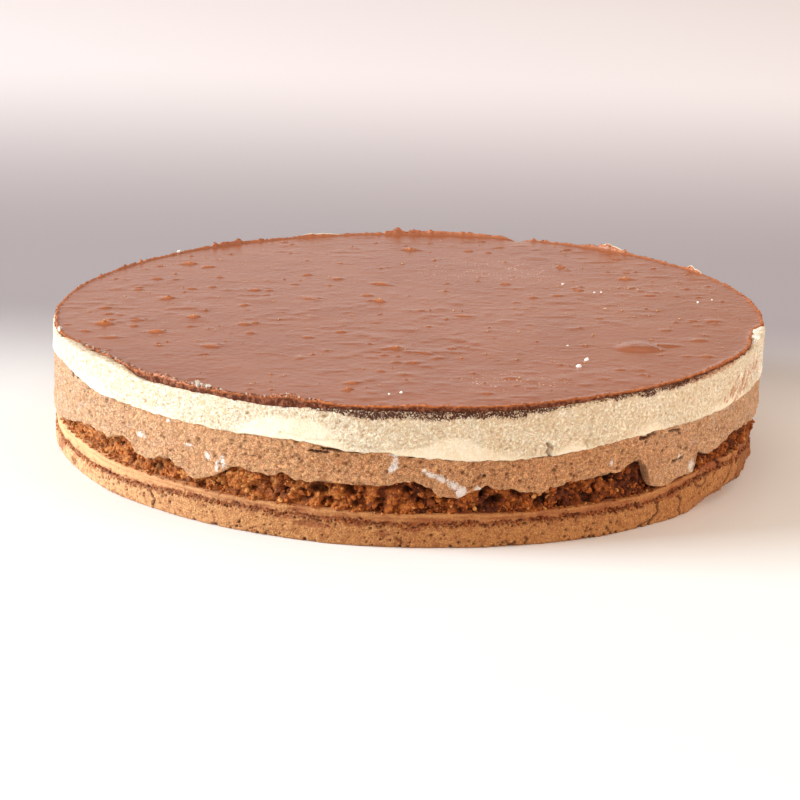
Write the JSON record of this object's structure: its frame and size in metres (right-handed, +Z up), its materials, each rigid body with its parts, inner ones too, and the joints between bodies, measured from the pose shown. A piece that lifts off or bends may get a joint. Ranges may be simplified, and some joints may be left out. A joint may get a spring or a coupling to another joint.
{
  "type": "layered hazelnut mousse cake",
  "caption": "Low round cake: pale sponge, crushed hazelnut crunch, chocolate mousse, cream mousse and a thin milk chocolate glaze, its layers bare at the side.",
  "frame": {"origin": "middle of the underside of the sponge", "axes": "+Z up through the layers, -Y towards the side that the picture shows, +X to its right"},
  "size_m": [0.26, 0.26, 0.0521],
  "materials": {
    "sponge": "baked sponge, tan, dry and full of small pores",
    "crunch": "crushed roasted hazelnut and biscuit in chocolate, dark brown, craggy, with small glints",
    "chocolate_mousse": "set chocolate mousse, light brown, finely pitted, with a few pale smears",
    "cream_mousse": "set cream mousse, ivory, smooth with fine pores",
    "glaze": "set milk chocolate glaze, satin gloss over small bumps"
  },
  "bodies": {
    "root": {"sponge_base": "sponge", "hazelnut_crunch": "crunch", "chocolate_mousse": "chocolate_mousse", "cream_mousse": "cream_mousse", "chocolate_glaze": "glaze"}
  },
  "joints": []
}
